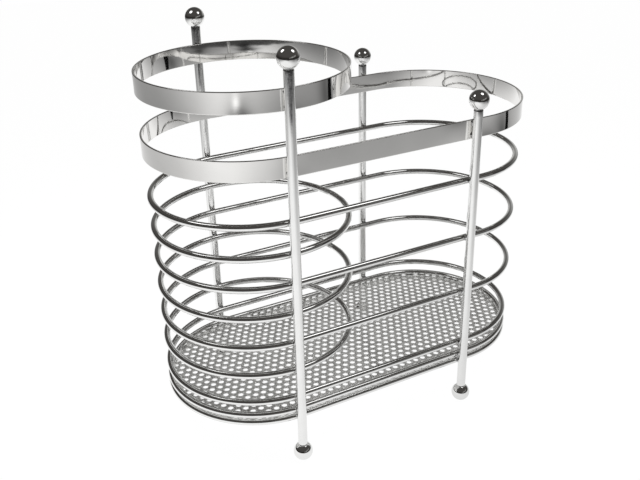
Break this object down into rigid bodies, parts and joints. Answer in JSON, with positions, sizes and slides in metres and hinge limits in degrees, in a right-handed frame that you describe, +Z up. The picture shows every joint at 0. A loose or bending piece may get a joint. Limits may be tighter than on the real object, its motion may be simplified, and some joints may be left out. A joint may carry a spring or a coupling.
{
  "type": "cutlery drainer",
  "caption": "Free-standing cutlery drainer of chrome-plated wire rings on ball-ended posts, with a round and a long compartment, strip rims and a perforated floor.",
  "frame": {"origin": "on the standing plane under the balls, below the middle of the long rings", "axes": "+Z up; +X along the drainer, away from the round compartment; +Y to the rear"},
  "size_m": [0.219, 0.1236, 0.224],
  "materials": {
    "plated_wire": "bright chrome plating on drawn steel wire",
    "plated_post": "bright chrome plating on straightened steel rod",
    "plated_ball": "mirror chrome plating on a turned steel ball",
    "plated_strip": "chrome plating on rolled steel strip, slightly softer than the wire",
    "plated_sheet": "chrome plating on punched steel sheet, duller than the wire"
  },
  "bodies": {
    "root": {"post_front_left": "plated_post", "finial_front_left": "plated_ball", "foot_front_left": "plated_ball", "post_rear_left": "plated_post", "finial_rear_left": "plated_ball", "foot_rear_left": "plated_ball", "post_front_right": "plated_post", "finial_front_right": "plated_ball", "foot_front_right": "plated_ball", "post_rear_right": "plated_post", "finial_rear_right": "plated_ball", "foot_rear_right": "plated_ball", "long_ring_1": "plated_wire", "long_ring_2": "plated_wire", "long_ring_3": "plated_wire", "long_ring_4": "plated_wire", "round_ring_1": "plated_wire", "round_ring_2": "plated_wire", "round_ring_3": "plated_wire", "rim_wire_lower": "plated_wire", "rim_wire_upper": "plated_wire", "perforated_floor": "plated_sheet", "long_band": "plated_strip", "round_band": "plated_strip"}
  },
  "joints": []
}
